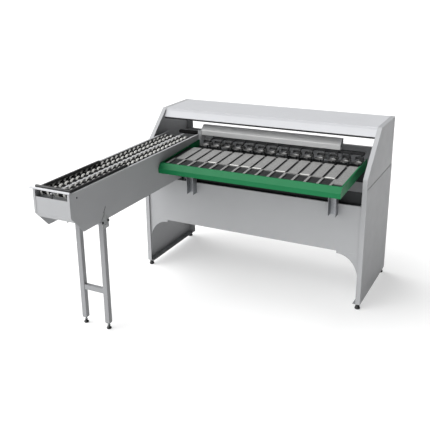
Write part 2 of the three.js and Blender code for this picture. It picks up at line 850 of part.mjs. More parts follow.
function weighPan() {
  const leverTop = dishHeight + dishThickness / 2;
  const dish = new THREE.LatheGeometry(
    [
      [0, 0],
      [dishFlatRadius, 0],
      [dishRadius, dishRise],
      [dishRadius, dishRise + dishThickness],
      [dishFlatRadius, dishThickness],
      [0, dishThickness],
    ].map(([r, h]) => new THREE.Vector2(r, h)),
    14,
  );
  dish.rotateX(Math.PI / 2).translate(0, -dishReach, dishHeight);
  return join(
    dish,
    block([-leverHalfWidth, leverHalfWidth], [-dishReach, weightFront + sheet], [leverBottom, leverTop]),
    block([-hubHalf, hubHalf], [-hubHalf, hubHalf], [-hubBelow, leverTop]),
    barX(pinRadius, [-pinReach, pinReach], 0, 0, 8),
    block([-weightHalfWidth, weightHalfWidth], [weightFront, weightBack], [-weightBelow, leverTop]),
  );
}

const panShape = weighPan();
for (let pan = 0; pan < panCount; pan += 1) {
  add(weighing, "weigh_pan_" + (pan + 1), panShape.clone(), steel, [panX(pan), panPivotY, panPivotZ]);
}

// Transport carriage: a bar that slides along the machine beam, with blocks and guide pins
const carriageSetback = 14;
const carriageDepth = 30;
const carriageThickness = 16;
const carriageMargin = 5;
const liftBarAboveBeam = 68;
const liftBarHeight = 18;
const liftBarBottom = beamTop + liftBarAboveBeam;
const liftBarTop = liftBarBottom + liftBarHeight;
const guidePinRadius = 5;
const guidePinReach = 18;
const guidePinTop = liftBarTop + guidePinReach;
const guideBoreClearance = 0.6;
const blockHalfWidth = 20;
const blockInset = 3;
const guidePans = [1, 6, 10];
const carriageY = [beamFront + carriageSetback, beamFront + carriageSetback + carriageDepth];
const guideY = carriageY[0] + (carriageDepth + carriageMargin) / 2;

function carriage() {
  const bottom = beamTop + seatGap;
  const top = bottom + carriageThickness;
  const span = [panX(0) - carriageMargin, panX(panCount - 1) + carriageMargin];
  const blockY = [carriageY[0] + carriageMargin + blockInset, carriageY[1] - blockInset];
  const blockZ = [top - sheet, liftBarBottom - seatGap];
  const risers = guidePans.map(panX).flatMap((x) => [
    block([x - blockHalfWidth, x + blockHalfWidth], blockY, blockZ),
    barZ(guidePinRadius, x, guideY, [top, guidePinTop]),
  ]);
  return join(block(span, carriageY, [bottom, top]), ...risers);
}

add(transport, "transport_carriage", carriage(), steel);

// Transport beam: lifts on the guide pins, with an arm and a black fork for each scale
const armHalfWidth = 5;
const armThickness = 8;
const forkFront = 176;
const forkRoot = 190;
const forkBack = 206;
const forkHalfWidth = 22;
const forkHeight = 14;
const prongWidth = 6;

function transportBeam() {
  const span = [panX(0) - carriageMargin, panX(panCount - 1) + carriageMargin];
  const barY = [carriageY[0] + carriageMargin, carriageY[1]];
  const forkZ = [liftBarBottom, liftBarBottom + forkHeight];
  const armY = [forkRoot + sheet, barY[0] + sheet];
  const armZ = [liftBarBottom, liftBarBottom + armThickness];
  const forks = Array.from({ length: panCount }, (_, pan) => {
    const x = panX(pan);
    const sides = [x - forkHalfWidth, x + forkHalfWidth];
    return [
      block([x - armHalfWidth, x + armHalfWidth], armY, armZ),
      block(sides, [forkRoot, forkBack], forkZ),
      block([sides[0], sides[0] + prongWidth], [forkFront, forkBack], forkZ),
      block([sides[1] - prongWidth, sides[1]], [forkFront, forkBack], forkZ),
    ];
  }).flat();
  const boreZ = [liftBarBottom - overrun, liftBarTop + overrun];
  const bores = guidePans.map((pan) => barZ(guidePinRadius + guideBoreClearance, panX(pan), guideY, boreZ));
  return cut(join(block(span, barY, [liftBarBottom, liftBarTop]), ...forks), ...bores);
}

add(transport, "transport_beam", transportBeam(), blackPlastic);

// Hood: a folded cover over the transport beam, on an end bracket at either side
const hoodLeftGap = 16;
const hoodRightGap = 240;
const hoodLeft = troughLeft + troughWidth + hoodLeftGap;
const hoodRight = cabinetWidth - hoodRightGap;
const hoodFront = 266;
const hoodAboveBeam = 90;
const hoodSkirtHeight = 30;
const hoodSlopeHeight = 32;
const hoodSkirtBottom = beamTop + hoodAboveBeam;
const hoodBreak = hoodSkirtBottom + hoodSkirtHeight;
const hoodTop = hoodBreak + hoodSlopeHeight;
const hoodTopFront = 298;
const hoodBack = 318;
const hoodBackLip = 10;
const bracketLegDepth = 15;
const bracketArchRise = 14;
const bracketArchTop = hoodSkirtBottom + bracketArchRise;
const cheekWidth = 26;
const cheekDepth = 26;

const hoodPath = [
  [hoodFront, hoodSkirtBottom],
  [hoodFront, hoodBreak],
  [hoodTopFront, hoodTop],
  [hoodBack, hoodTop],
  [hoodBack, hoodTop - hoodBackLip],
];
add(transport, "hood", plateYZ(foldedSheet(hoodPath), [hoodLeft, hoodRight]), brushed);

const hoodEnd = shapeOf([
  [hoodFront, bracketArchTop],
  [hoodBack - bracketLegDepth, bracketArchTop],
  [hoodBack - bracketLegDepth, beamTop],
  [hoodBack, beamTop],
  [hoodBack, hoodTop],
  [hoodTopFront, hoodTop],
  [hoodFront, hoodBreak],
]);
add(transport, "hood_right_bracket", plateYZ(hoodEnd, [hoodRight, hoodRight + sheet]), darkPaint);

function hoodLeftBracket() {
  const cheekLeft = hoodLeft - cheekWidth;
  const height = [beamTop, hoodBreak];
  return join(
    plateYZ(hoodEnd, [hoodLeft - sheet, hoodLeft]),
    block([cheekLeft, hoodLeft], [hoodFront - sheet, hoodFront], height),
    block([cheekLeft, cheekLeft + sheet], [hoodFront - sheet, hoodFront + cheekDepth], height),
  );
}

add(transport, "hood_left_bracket", hoodLeftBracket(), lightPaint);

// Stop bar: a black round bar over the end of the trough, fixed to the left hood bracket
const stopBarSpan = [stopBarLeft, hoodLeft - cheekWidth];
add(transport, "stop_bar", barX(stopBarRadius, stopBarSpan, stopBarY, stopBarZ), blackPlastic);

// Drive: a gearmotor hangs from the machine beam and turns the drive shaft through a chain
const motorAxisY = 225;
const motorBelowBeam = 170;
const motorAxisZ = beamBottom - motorBelowBeam;
const gearboxSpan = [60, 150];
const gearboxHalf = 45;
const gearboxBelow = 60;
const motorRadius = 42;
const motorLength = 180;
const hangerThickness = 6;
const hangerBack = 300;
const chainWheelSpan = [30, 36];
const chainWheelRadius = 25;
const chainPlay = 0.3;
const linkThickness = 6;
const outputRadius = 8;
const shaftEnd = 1.5;

function gearmotor() {
  const hangerX = (gearboxSpan[0] + gearboxSpan[1]) / 2;
  const boxY = [motorAxisY - gearboxHalf, motorAxisY + gearboxHalf];
  const boxTop = motorAxisZ + gearboxHalf;
  const hangerY = [beamFront + sheet, hangerBack];
  return join(
    block(gearboxSpan, boxY, [motorAxisZ - gearboxBelow, boxTop]),
    barX(motorRadius, [gearboxSpan[1] - sheet, gearboxSpan[1] + motorLength], motorAxisY, motorAxisZ, 16),
    block([hangerX, hangerX + hangerThickness], hangerY, [motorAxisZ, beamBottom]),
  );
}

add(drive, "gearmotor", gearmotor(), castGrey);

const wheel = () => barX(chainWheelRadius, chainWheelSpan, 0, 0, 18);
const outputSpan = [chainWheelSpan[0] - shaftEnd, gearboxSpan[0] - seatGap];
const motorSprocket = join(wheel(), barX(outputRadius, outputSpan));
add(drive, "motor_sprocket", motorSprocket, steel, [0, motorAxisY, motorAxisZ]);

const sprocketInset = 1;
const sprockets = chainSpans.map(([x0, x1]) =>
  barX(sprocketRadius, [x0 + sprocketInset, x1], 0, 0, 18),
);
const innerSpan = [troughInner[0] + seatGap, troughInner[1] - seatGap];
const driveShaft = join(
  wheel(),
  barX(shaftRadius, [chainWheelSpan[0] - shaftEnd, innerSpan[1]]),
  ...sprockets,
);
add(drive, "drive_shaft", driveShaft, steel, [0, drivePlaceY, driveAxisZ]);
const idlerShaft = join(barX(shaftRadius, innerSpan), ...sprockets);
add(drive, "idler_shaft", idlerShaft, steel, [0, idlerY, driveAxisZ]);

// Drive chain: a loop round the two chain wheels
function driveChain() {
  const run = Math.hypot(motorAxisY - drivePlaceY, motorAxisZ - driveAxisZ);
  const turn = Math.atan2(driveAxisZ - motorAxisZ, drivePlaceY - motorAxisY);
  const loop = (radius) => {
    const path = new THREE.Shape();
    path.absarc(0, 0, radius, Math.PI / 2, (3 * Math.PI) / 2, false);
    path.absarc(run, 0, radius, -Math.PI / 2, Math.PI / 2, false);
    return path;
  };
  const ring = loop(chainWheelRadius + chainPlay + linkThickness);
  ring.holes.push(loop(chainWheelRadius + chainPlay));
  const span = [chainWheelSpan[0] + chainPlay, chainWheelSpan[1] - chainPlay];
  return plateYZ(ring, span, 8).rotateX(turn);
}

add(drive, "drive_chain", driveChain(), castGrey, [0, motorAxisY, motorAxisZ]);

// The part's origin is on the floor, under the middle of the whole machine
machine.position.set(-cabinetWidth / 2, (troughReach - cabinetDepth) / 2, 0);

export default machine;
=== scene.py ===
import json
import math

import bpy
from mathutils import Matrix, Vector

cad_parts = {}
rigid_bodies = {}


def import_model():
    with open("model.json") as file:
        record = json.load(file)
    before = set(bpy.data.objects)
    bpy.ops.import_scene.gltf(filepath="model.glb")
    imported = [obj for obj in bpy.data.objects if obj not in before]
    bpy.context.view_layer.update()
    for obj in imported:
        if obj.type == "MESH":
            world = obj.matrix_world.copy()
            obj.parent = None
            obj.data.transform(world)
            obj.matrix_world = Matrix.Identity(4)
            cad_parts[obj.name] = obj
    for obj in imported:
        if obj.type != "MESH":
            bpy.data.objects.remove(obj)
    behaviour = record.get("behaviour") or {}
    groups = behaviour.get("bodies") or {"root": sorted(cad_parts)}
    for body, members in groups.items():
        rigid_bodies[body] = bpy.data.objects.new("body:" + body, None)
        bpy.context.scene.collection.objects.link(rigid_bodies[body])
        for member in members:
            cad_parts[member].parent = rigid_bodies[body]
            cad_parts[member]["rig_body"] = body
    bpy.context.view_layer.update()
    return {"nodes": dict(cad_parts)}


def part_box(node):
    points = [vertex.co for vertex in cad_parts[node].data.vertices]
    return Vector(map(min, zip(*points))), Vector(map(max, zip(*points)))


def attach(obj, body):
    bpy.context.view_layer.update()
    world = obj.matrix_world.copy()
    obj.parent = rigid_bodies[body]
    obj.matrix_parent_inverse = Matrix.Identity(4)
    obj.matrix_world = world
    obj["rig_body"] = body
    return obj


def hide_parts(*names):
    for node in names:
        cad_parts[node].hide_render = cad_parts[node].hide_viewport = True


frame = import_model()
MM = 0.001

# The camera stands in front of the machine's right corner, above the table, and looks down on it
# through a short telephoto lens, so that the trough's open end comes towards it on the left.
photo_side = 430
focal_pixels = 667
off_centre_pixels = 25
sensor_width = 36
camera_place = Vector((1.5655, -3.2587, 1.9460))
camera_heading = math.radians(29.1)
camera_tilt = math.radians(18.7)
camera_roll = math.radians(-1.3)
bpy.ops.object.camera_add()
camera = bpy.context.object
camera.matrix_world = (
    Matrix.Translation(camera_place)
    @ Matrix.Rotation(camera_heading, 4, "Z")
    @ Matrix.Rotation(math.pi / 2 - camera_tilt, 4, "X")
    @ Matrix.Rotation(camera_roll, 4, "Z")
)
camera.data.sensor_width = sensor_width
camera.data.lens = sensor_width * focal_pixels / photo_side
camera.data.shift_x = off_centre_pixels / photo_side
camera.data.shift_y = -off_centre_pixels / photo_side
bpy.context.scene.camera = camera


# The floor is a wide sheet of matt white studio vinyl, lit faintly from behind, which weakens the
# shadows on it. Its faint grain keeps it from looking like an empty background, and it lights the
# machine from below.
def linear(hex_colour):
    channels = [int(hex_colour[i : i + 2], 16) / 255 for i in (1, 3, 5)]
    shades = [c / 12.92 if c <= 0.04045 else ((c + 0.055) / 1.055) ** 2.4 for c in channels]
    return (*shades, 1.0)


def add_node(material, kind, settings=(), sockets=()):
    made = material.node_tree.nodes.new(kind)
    for name, value in dict(settings).items():
        setattr(made, name, value)
    for name, value in dict(sockets).items():
        if isinstance(value, bpy.types.NodeSocket):
            material.node_tree.links.new(value, made.inputs[name])
        else:
            made.inputs[name].default_value = value
    return made


def plain_surface(name, colour, roughness, metallic=0.0, gloss=0.5):
    material = bpy.data.materials.new(name)
    material.use_nodes = True
    shader = material.node_tree.nodes["Principled BSDF"]
    shader.inputs["Base Color"].default_value = linear(colour)
    shader.inputs["Roughness"].default_value = roughness
    shader.inputs["Metallic"].default_value = metallic
    shader.inputs["Specular IOR Level"].default_value = gloss
    return material


def drive_socket(material, socket, value):
    shader = material.node_tree.nodes["Principled BSDF"]
    material.node_tree.links.new(value, shader.inputs[socket])


def patches(material, size, low, high, detail=4.0, stretch=(1.0, 1.0, 1.0)):
    """A noise with patches of one real size, in metres, as values from low to high"""
    dark_patch, bright_patch = 0.3, 0.7
    fine_share = 0.6
    place = add_node(material, "ShaderNodeTexCoord").outputs["Object"]
    stretched = add_node(
        material, "ShaderNodeMapping", sockets={"Vector": place, "Scale": stretch}
    ).outputs["Vector"]
    noise = add_node(
        material,
        "ShaderNodeTexNoise",
        sockets={
            "Vector": stretched,
            "Scale": 1 / size,
            "Detail": detail,
            "Roughness": fine_share,
        },
    ).outputs["Fac"]
    return add_node(
        material,
        "ShaderNodeMapRange",
        sockets={
            "Value": noise,
            "From Min": dark_patch,
            "From Max": bright_patch,
            "To Min": low,
            "To Max": high,
        },
    ).outputs["Result"]


# The Mix node's sockets share their names with those for other values: these mix two colours.
MIX_SHARE, MIX_FIRST, MIX_SECOND, MIX_RESULT = 0, 6, 7, 2

floor_side = 400
floor_glow = 0.45
vinyl_patch = 0.6
vinyl = plain_surface("matt studio vinyl", "#cbcbcb", 0.9)
vinyl_grain = add_node(
    vinyl,
    "ShaderNodeMix",
    {"data_type": "RGBA"},
    {
        MIX_SHARE: patches(vinyl, vinyl_patch, 0, 1),
        MIX_FIRST: linear("#c9c9c9"),
        MIX_SECOND: linear("#cdcdcd"),
    },
).outputs[MIX_RESULT]
drive_socket(vinyl, "Base Color", vinyl_grain)
vinyl_shader = vinyl.node_tree.nodes["Principled BSDF"]
vinyl_shader.inputs["Emission Color"].default_value = linear("#ffffff")
vinyl_shader.inputs["Emission Strength"].default_value = floor_glow
bpy.ops.mesh.primitive_plane_add(size=floor_side)
floor = bpy.context.object
floor.data.materials.append(vinyl)

# Studio light: a white room whose light fades towards the right and the back, and a very broad
# soft light from above and from the left, so that the right sides stay darker. The room itself is
# seen white all round, and colours are shown with no film look.
bright_side = (-0.73, -0.68, 0.05)
no_light_at = -0.1
full_light_at = 1
full_light = 2.1
soft_light_side = Vector((-0.60, -0.12, 0.79))
soft_light_strength = 3.2
soft_light_width = math.radians(80)
room = bpy.data.worlds.new("white room")
room.use_nodes = True
direction = add_node(room, "ShaderNodeTexCoord").outputs["Generated"]
facing = add_node(
    room, "ShaderNodeVectorMath", {"operation": "DOT_PRODUCT"}, {0: direction, 1: bright_side}
).outputs["Value"]
strength = add_node(
    room,
    "ShaderNodeMapRange",
    sockets={
        "Value": facing,
        "From Min": no_light_at,
        "From Max": full_light_at,
        "To Min": 0.0,
        "To Max": full_light,
    },
).outputs["Result"]
seen = add_node(room, "ShaderNodeLightPath").outputs["Is Camera Ray"]
shown = add_node(room, "ShaderNodeMath", {"operation": "MAXIMUM"}, {0: strength, 1: seen})
backdrop = room.node_tree.nodes["Background"]
backdrop.inputs["Color"].default_value = linear("#ffffff")
room.node_tree.links.new(shown.outputs["Value"], backdrop.inputs["Strength"])
bpy.context.scene.world = room
bpy.context.scene.view_settings.view_transform = "Standard"
bpy.ops.object.light_add(type="SUN", rotation=soft_light_side.to_track_quat("Z", "Y").to_euler())
soft_light = bpy.context.object
soft_light.data.energy = soft_light_strength
soft_light.data.angle = soft_light_width


# Cabinet: 2 mm sheet steel, cut, folded and powder coated light grey. The oven leaves a satin
# skin with a fine orange peel, rounds every fold, and dulls in patches where hands and cloths go.
def select_only(*pieces):
    bpy.ops.object.select_all(action="DESELECT")
    for piece in pieces:
        piece.select_set(True)
    bpy.context.view_layer.objects.active = pieces[0]


def soften(piece, radius, segments=2):
    """Rounds every sharp edge, and shades what is rounded smoothly"""
    sharp_from = math.radians(30)
    smooth_below = math.radians(20)
    select_only(piece)
    bevel = piece.modifiers.new("edge", "BEVEL")
    bevel.width = radius
    bevel.segments = segments
    bevel.limit_method = "ANGLE"
    bevel.angle_limit = sharp_from
    bevel.harden_normals = True
    bpy.ops.object.shade_smooth_by_angle(angle=smooth_below)
    bpy.ops.object.modifier_apply(modifier=bevel.name)


def body_of(node):
    return frame["nodes"][node]["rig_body"]


def fix(piece, name, material, slot, body, *stands_for):
    """Names a finished piece, gives it its finish, and hangs it on its body"""
    piece.name = name
    piece.data.materials.clear()
    piece.data.materials.append(material)
    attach(piece, body)
    if stands_for:
        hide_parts(*stands_for)
    return piece


def whole_copy(node):
    """A copy of a solid, with its loose triangles merged to whole faces"""
    same_point = 0.01 * MM
    same_plane = math.radians(0.5)
    mesh = frame["nodes"][node].data.copy()
    piece = bpy.data.objects.new(node + " copy", mesh)
    bpy.context.collection.objects.link(piece)
    select_only(piece)
    bpy.ops.mesh.customdata_custom_splitnormals_clear()
    bpy.ops.object.mode_set(mode="EDIT")
    bpy.ops.mesh.select_all(action="SELECT")
    bpy.ops.mesh.remove_doubles(threshold=same_point)
    bpy.ops.mesh.dissolve_limited(angle_limit=same_plane)
    bpy.ops.object.mode_set(mode="OBJECT")
    return piece


def finished(node, material, slot, radius=0.9 * MM, segments=2):
    """A solid with its edges rounded, which stands for it"""
    piece = whole_copy(node)
    soften(piece, radius, segments)
    return fix(piece, node + "_finish", material, slot, body_of(node), node)


def powder_coat(name, colour, dull, edge_highlight_colour, roughness, gloss=0.12):
    """Satin polyester powder: dull patches, a painted highlight along its edges and folds, and a
    fine orange peel
    """
    edge_begins, edge_full = 0.53, 0.62
    brightest_edge_highlight = 0.35
    handled_size = 250 * MM
    most_handled = 0.7
    sheen_size = 80 * MM
    # The peel's real pits are about 2 mm apart. They are drawn at 5 mm, so that they show.
    peel_size = 5 * MM
    peel_depth = 0.02 * MM
    material = plain_surface(name, colour, roughness, gloss=gloss)
    # Painted highlight: convex edges and folds are mixed towards the lighter edge colour, where
    # the light would catch them.
    edge_highlight = add_node(
        material,
        "ShaderNodeMapRange",
        sockets={
            "Value": add_node(material, "ShaderNodeNewGeometry").outputs["Pointiness"],
            "From Min": edge_begins,
            "From Max": edge_full,
            "To Min": 0.0,
            "To Max": brightest_edge_highlight,
        },
    ).outputs["Result"]
    handled = add_node(
        material,
        "ShaderNodeMix",
        {"data_type": "RGBA"},
        {
            MIX_SHARE: patches(material, handled_size, 0.0, most_handled),
            MIX_FIRST: linear(colour),
            MIX_SECOND: linear(dull),
        },
    ).outputs[MIX_RESULT]
    coat = add_node(
        material,
        "ShaderNodeMix",
        {"data_type": "RGBA"},
        {MIX_SHARE: edge_highlight, MIX_FIRST: handled, MIX_SECOND: linear(edge_highlight_colour)},
    ).outputs[MIX_RESULT]
    drive_socket(material, "Base Color", coat)
    sheen = patches(material, sheen_size, roughness - 0.05, roughness + 0.06)
    drive_socket(material, "Roughness", sheen)
    peel = add_node(
        material,
        "ShaderNodeBump",
        sockets={
            "Height": patches(material, peel_size, 0, 1, detail=1.0),
            "Distance": peel_depth,
            "Strength": 1.0,
        },
    ).outputs["Normal"]
    drive_socket(material, "Normal", peel)
    return material


grey_powder = powder_coat("light grey powder coat", "#a2a3a5", "#9d9ea0", "#b6b7b8", 0.46)
light_powder = powder_coat("pale grey powder coat", "#bdbec1", "#b8b9bc", "#cccdcf", 0.46)
for node in (
    "left_side_lower",
    "left_side_upper",
    "right_side_lower",
    "right_side_upper",
    "front_panel",
    "back_panel",
    "left_gusset",
    "right_gusset",
):
    finished(node, grey_powder, "grey_paint")
finished("top_cover", light_powder, "light_paint")

# Inner sheets: the same steel in a charcoal powder, which keeps the works dark behind the table.
# The trough's bottom sheet is welded to the saddle under it. Both are given the charcoal as
# painted shade, standing for the shade deep in the trough under the rollers.
charcoal_coat_and_trough_shade = powder_coat("charcoal powder coat and painted trough shade", "#2a2c2d", "#303233", "#56585a", 0.5)
for node in ("inner_cross_plate", "machine_beam", "trough_saddle"):
    finished(node, charcoal_coat_and_trough_shade, "charcoal_paint")


# Cabinet feet: black nylon cups with a smooth cone, screwed under the bottom flanges. Moulded
# nylon is nearly even, with a soft shine.
def settle(piece):
    """Puts a piece's place, turn and size into its mesh"""
    select_only(piece)
    bpy.ops.object.transform_apply(location=True, rotation=True, scale=True)
    return piece


def turned(rings, place=(0, 0, 0), turn=(0, 0, 0), sides=32, corner=35):
    """A turned piece: a disc drawn up along its axis from ring to ring of (radius, height)"""
    bpy.ops.object.select_all(action="DESELECT")
    radius, height = rings[0]
    bpy.ops.mesh.primitive_circle_add(
        vertices=sides, radius=radius, fill_type="NGON", location=(0, 0, height)
    )
    piece = bpy.context.object
    bpy.ops.object.mode_set(mode="EDIT")
    bpy.ops.mesh.select_all(action="SELECT")
    for next_radius, next_height in rings[1:]:
        bpy.ops.mesh.extrude_region_move(
            TRANSFORM_OT_translate={"value": (0, 0, next_height - height)}
        )
        grow = next_radius / radius
        bpy.ops.transform.resize(value=(grow, grow, 1), center_override=(0, 0, next_height))
        radius, height = next_radius, next_height
    bpy.ops.mesh.select_all(action="SELECT")
    bpy.ops.mesh.normals_make_consistent(inside=False)
    bpy.ops.object.mode_set(mode="OBJECT")
    settle(piece)
    piece.rotation_euler = turn
    piece.location = place
    settle(piece)
    bpy.ops.object.shade_smooth_by_angle(angle=math.radians(corner))
    return piece


def moulded(name, colour, shine, roughness, gloss=0.5):
    """Moulded plastic or rubber: an even skin with faint flow patches and a fine sparked grain"""
    flow_size = 30 * MM
    shine_size = 20 * MM
    # The grain is about 0.3 mm wide. It is drawn at 1.5 mm, so that it shows.
    grain_size = 1.5 * MM
    grain_depth = 0.01 * MM
    material = plain_surface(name, colour, roughness, gloss=gloss)
    flow = add_node(
        material,
        "ShaderNodeMix",
        {"data_type": "RGBA"},
        {
            MIX_SHARE: patches(material, flow_size, 0, 1),
            MIX_FIRST: linear(colour),
            MIX_SECOND: linear(shine),
        },
    ).outputs[MIX_RESULT]
    drive_socket(material, "Base Color", flow)
    skin = patches(material, shine_size, roughness - 0.06, roughness + 0.06)
    drive_socket(material, "Roughness", skin)
    grain = add_node(
        material,
        "ShaderNodeBump",
        sockets={
            "Height": patches(material, grain_size, 0, 1, detail=1.0),
            "Distance": grain_depth,
            "Strength": 1.0,
        },
    ).outputs["Normal"]
    drive_socket(material, "Normal", grain)
    return material


black_nylon = moulded("black moulded nylon", "#141516", "#1d1e20", 0.45)
foot_radius = 16 * MM
foot_height = 32 * MM
foot_rings = [
    (foot_radius - 2 * MM, 0),
    (foot_radius, 1.5 * MM),
    (foot_radius, 7 * MM),
    (foot_radius - 1 * MM, 9 * MM),
    (foot_radius - 5 * MM, foot_height - 6 * MM),
    (foot_radius - 7 * MM, foot_height - 4 * MM),
    (foot_radius - 7 * MM, foot_height),
]
for side in ("left", "right"):
    for end in ("front", "back"):
        node = f"{side}_{end}_foot"
        low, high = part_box(node)
        middle = (low + high) / 2
        foot = turned(foot_rings, (middle.x, middle.y, low.z))
        fix(foot, f"{side}_{end}_foot_cup", black_nylon, "black_plastic", body_of(node), node)


# Screws: zinc-plated pan heads with a small recess hold the back panel and the cover. The plating
# gives them an even, slightly clouded shine.
def metal(name, bright, dull, roughness, grain, stretch=(1.0, 1.0, 1.0)):
    """Bare metal: brighter and duller grains of one real size, which also shine differently"""
    grain_detail = 3.0
    duller, shinier = roughness + 0.1, roughness - 0.08
    material = plain_surface(name, bright, roughness, 1.0)
    tone = add_node(
        material,
        "ShaderNodeMix",
        {"data_type": "RGBA"},
        {
            MIX_SHARE: patches(material, grain, 0, 1, grain_detail, stretch),
            MIX_FIRST: linear(bright),
            MIX_SECOND: linear(dull),
        },
    ).outputs[MIX_RESULT]
    drive_socket(material, "Base Color", tone)
    shine = patches(material, grain, shinier, duller, grain_detail, stretch)
    drive_socket(material, "Roughness", shine)
    return material


zinc_plate = metal("zinc-plated steel", "#b4b6b8", "#9a9c9f", 0.32, 6 * MM)
dark_zinc = metal("black zinc-plated steel", "#3c3d3f", "#2c2d2f", 0.35, 4 * MM)
TURN_TO = {
    "+x": (0, math.pi / 2, 0),
    "-x": (0, -math.pi / 2, 0),
    "+y": (-math.pi / 2, 0, 0),
}


def joined(pieces):
    select_only(*pieces)
    bpy.ops.object.join()
    return bpy.context.object


def pan_head(place, facing):
    """A round screw head with a recess"""
    radius = 4.5 * MM
    rings = [
        (radius, 0),
        (radius, 0.25 * radius),
        (0.85 * radius, 0.5 * radius),
        (0.5 * radius, 0.6 * radius),
        (0.3 * radius, 0.6 * radius),
        (0.12 * radius, 0.25 * radius),
    ]
    return turned(rings, place, TURN_TO[facing], sides=16)


back_low, back_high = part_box("back_panel")
cover_low, cover_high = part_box("top_cover")
screw_inset = 24 * MM
back_columns = 5
cover_columns = 4
screws = []
for k in range(back_columns):
    share = k / (back_columns - 1)
    x = back_low.x + screw_inset + share * (back_high.x - back_low.x - 2 * screw_inset)
    for z in (back_low.z + screw_inset, back_high.z - screw_inset):
        screws.append(pan_head((x, back_high.y, z), "+y"))
for k in range(cover_columns):
    x = cover_low.x + (k + 0.5) / cover_columns * (cover_high.x - cover_low.x)
    screws.append(pan_head((x, cover_high.y, cover_high.z - screw_inset), "+y"))
fix(joined(screws), "back_screws", zinc_plate, "bright_steel", "frame")


# A black strip runs under the cover's fascia, all along it: painted shade, standing for the shade
# on the fascia's folded return. Its matt black is all but even.
def slab(low, high, rounding, segments=2):
    """A block between two corners, with its edges rounded"""
    bpy.ops.object.select_all(action="DESELECT")
    low, high = Vector(low), Vector(high)
    bpy.ops.mesh.primitive_cube_add(size=1, location=(low + high) / 2)
    piece = bpy.context.object
    piece.scale = high - low
    settle(piece)
    soften(piece, rounding, segments)
    return piece


# Painted shade: this black stands for the shade on the fascia's return.
rubber = moulded("black strip of painted shade", "#1a1a1b", "#242426", 0.7)
strip_inset = 8 * MM
strip_width = 6 * MM
strip_end_gap = 1 * MM
strip_below = 7 * MM
strip_lap = 5 * MM
strip = slab(
    (cover_low.x + strip_end_gap, cover_low.y + strip_inset, cover_low.z - strip_below),
    (
        cover_high.x - strip_end_gap,
        cover_low.y + strip_inset + strip_width,
        cover_low.z + strip_lap,
    ),
    rounding=2 * MM,
)
fix(strip, "fascia_shade_strip", rubber, "black_plastic", "frame")

# Trough: two folded side sheets and an end plate in the cabinet's powder coat. The right sheet
# has a slanted slot for tilting the leg, and each has a black screw near its top front corner.
wall_low, wall_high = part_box("trough_right_wall")
right_wall = whole_copy("trough_right_wall")
slot_bottom = Vector((wall_high.x, -0.575, 0.700))
slot_top = Vector((wall_high.x, -0.555, 0.733))
slot_width = 5 * MM
slot_end_radius = 2.4 * MM
slot_length = (slot_top - slot_bottom).length
slot_lean = math.atan2(slot_top.y - slot_bottom.y, slot_top.z - slot_bottom.z)
cutter_reach = 6 * MM
cutter = slab(
    (-cutter_reach, -slot_width / 2, 0),
    (cutter_reach, slot_width / 2, slot_length),
    slot_end_radius,
    segments=3,
)
cutter.rotation_euler = (-slot_lean, 0, 0)
cutter.location = slot_bottom
settle(cutter)
select_only(right_wall)
slot_cut = right_wall.modifiers.new("slot", "BOOLEAN")
slot_cut.object = cutter
bpy.ops.object.modifier_apply(modifier=slot_cut.name)
bpy.data.objects.remove(cutter)
soften(right_wall, 0.5 * MM)
fix(right_wall, "trough_right_sheet", grey_powder, "grey_paint", "frame", "trough_right_wall")
finished("trough_left_wall", grey_powder, "grey_paint", radius=0.5 * MM)
finished("trough_end_plate", grey_powder, "light_paint", radius=0.5 * MM)
left_wall_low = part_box("trough_left_wall")[0]
wall_screw_inset = 57 * MM
wall_screw_drop = 30 * MM
screw_y = wall_low.y + wall_screw_inset
screw_z = wall_high.z - wall_screw_drop
wall_screws = [
    pan_head((wall_high.x, screw_y, screw_z), "+x"),
    pan_head((left_wall_low.x, screw_y, screw_z), "-x"),
]
fix(joined(wall_screws), "trough_end_screws", dark_zinc, "bright_steel", "frame")


# The front bar is a drawn steel bar with a rounded end, coated pale grey. It lies on the trough's
# edge and stands out past the left wall.
def round_bar(node):
    """A round bar along x in the place of its solid, with a rounded left end"""
    low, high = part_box(node)
    middle = (low + high) / 2
    radius = (high.z - low.z) / 2
    length = high.x - low.x
    rings = [
        (0.3 * radius, 0),
        (0.65 * radius, 0.15 * radius),
        (0.9 * radius, 0.5 * radius),
        (radius, radius),
        (radius, length - 0.1 * radius),
        (0.9 * radius, length),
    ]
    return turned(rings, (low.x, middle.y, middle.z), TURN_TO["+x"], sides=24)


front_bar = round_bar("trough_front_bar")
fix(front_bar, "front_bar", light_powder, "bright_steel", "frame", "trough_front_bar")

# Guide frame: a black nylon bar across the trough's mouth, with a broad moulded rail on each side
# that lies along the trough's folded edge and covers the chain.
guide_low, guide_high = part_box("guide_frame")
guide_bar_radius = 8 * MM
guide_rail_width = 18 * MM
guide_rail_low = wall_high.z - 2 * MM
guide_rail_high = wall_high.z + 11 * MM
guide_rail_inset = 14.3 * MM
guide_rail_rounding = 4 * MM
guide_bar_y = guide_low.y + guide_bar_radius
guide_bar_z = guide_high.z - guide_bar_radius
guide_bar_length = guide_high.x - guide_low.x
guide_bar_rings = [
    (0.4 * guide_bar_radius, 0),
    (0.8 * guide_bar_radius, 0.2 * guide_bar_radius),
    (guide_bar_radius, 0.7 * guide_bar_radius),
    (guide_bar_radius, guide_bar_length - 0.7 * guide_bar_radius),
    (0.8 * guide_bar_radius, guide_bar_length - 0.2 * guide_bar_radius),
    (0.4 * guide_bar_radius, guide_bar_length),
]
guide_bar_place = (guide_low.x, guide_bar_y, guide_bar_z)
guide_bar = turned(guide_bar_rings, guide_bar_place, TURN_TO["+x"], sides=24)
rail_left = left_wall_low.x + guide_rail_inset
rail_right = wall_high.x - guide_rail_inset - guide_rail_width
guide_rails = [
    slab(
        (x, guide_bar_y, guide_rail_low),
        (x + guide_rail_width, guide_high.y, guide_rail_high),
        guide_rail_rounding,
        segments=4,
    )
    for x in (rail_left, rail_right)
]
guide = joined([guide_bar, *guide_rails])
fix(guide, "guide_bars", black_nylon, "black_plastic", "frame", "guide_frame")
